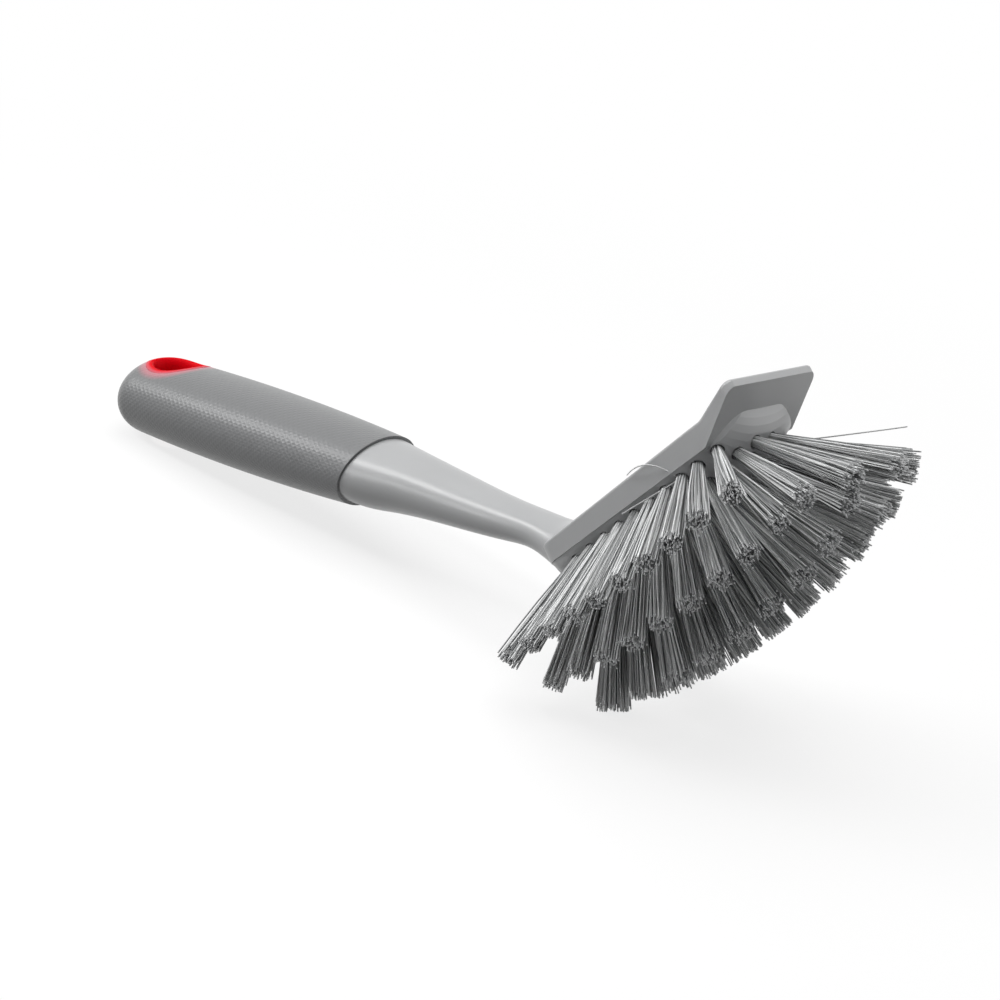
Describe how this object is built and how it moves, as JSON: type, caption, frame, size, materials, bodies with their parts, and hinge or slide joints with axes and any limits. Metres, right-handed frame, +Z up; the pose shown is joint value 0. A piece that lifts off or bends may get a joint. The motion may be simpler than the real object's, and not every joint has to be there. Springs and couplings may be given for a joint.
{
  "type": "dish brush",
  "caption": "Dish brush with an oval soft grip, a lined hang hole, a slim neck and a raised head with splayed filament tufts and a scraper lip.",
  "frame": {"origin": "on the table, under the middle of the brush's outline, as the brush lies on its grip and tufts", "axes": "+X along the brush from the grip's end to the head, +Z up"},
  "size_m": [0.2502, 0.0856, 0.0974],
  "materials": {
    "body_plastic": "satin grey",
    "grip_rubber": "fine-grained grey",
    "liner_plastic": "red",
    "filament": "grey filament",
    "anchor_wire": "flat wire"
  },
  "bodies": {
    "root": {"hang_hole_liner": "liner_plastic", "head_and_neck": "body_plastic", "soft_grip": "grip_rubber", "tuft_a_01": "filament", "tuft_a_02": "filament", "tuft_a_03": "filament", "tuft_a_04": "filament", "tuft_a_05": "filament", "tuft_a_06": "filament", "tuft_a_07": "filament", "tuft_a_08": "filament", "tuft_a_09": "filament", "tuft_a_10": "filament", "tuft_anchors": "anchor_wire", "tuft_b_01": "filament", "tuft_b_02": "filament", "tuft_b_03": "filament", "tuft_b_04": "filament", "tuft_b_05": "filament", "tuft_b_06": "filament", "tuft_b_07": "filament", "tuft_b_08": "filament", "tuft_b_09": "filament", "tuft_b_10": "filament", "tuft_c_01": "filament", "tuft_c_02": "filament", "tuft_c_03": "filament", "tuft_c_04": "filament", "tuft_c_05": "filament", "tuft_c_06": "filament", "tuft_c_07": "filament", "tuft_c_08": "filament", "tuft_c_09": "filament", "tuft_c_10": "filament", "tuft_d_01": "filament", "tuft_d_02": "filament", "tuft_d_03": "filament", "tuft_d_04": "filament", "tuft_d_05": "filament", "tuft_d_06": "filament", "tuft_d_07": "filament", "tuft_d_08": "filament", "tuft_d_09": "filament", "tuft_e_01": "filament", "tuft_e_02": "filament", "tuft_e_03": "filament", "tuft_e_04": "filament", "tuft_e_05": "filament", "tuft_e_06": "filament", "tuft_e_07": "filament", "tuft_e_08": "filament", "tuft_f_01": "filament", "tuft_f_02": "filament", "tuft_f_03": "filament", "tuft_f_04": "filament", "tuft_f_05": "filament", "tuft_f_06": "filament", "tuft_f_07": "filament", "tuft_f_08": "filament", "tuft_f_09": "filament"}
  },
  "joints": []
}
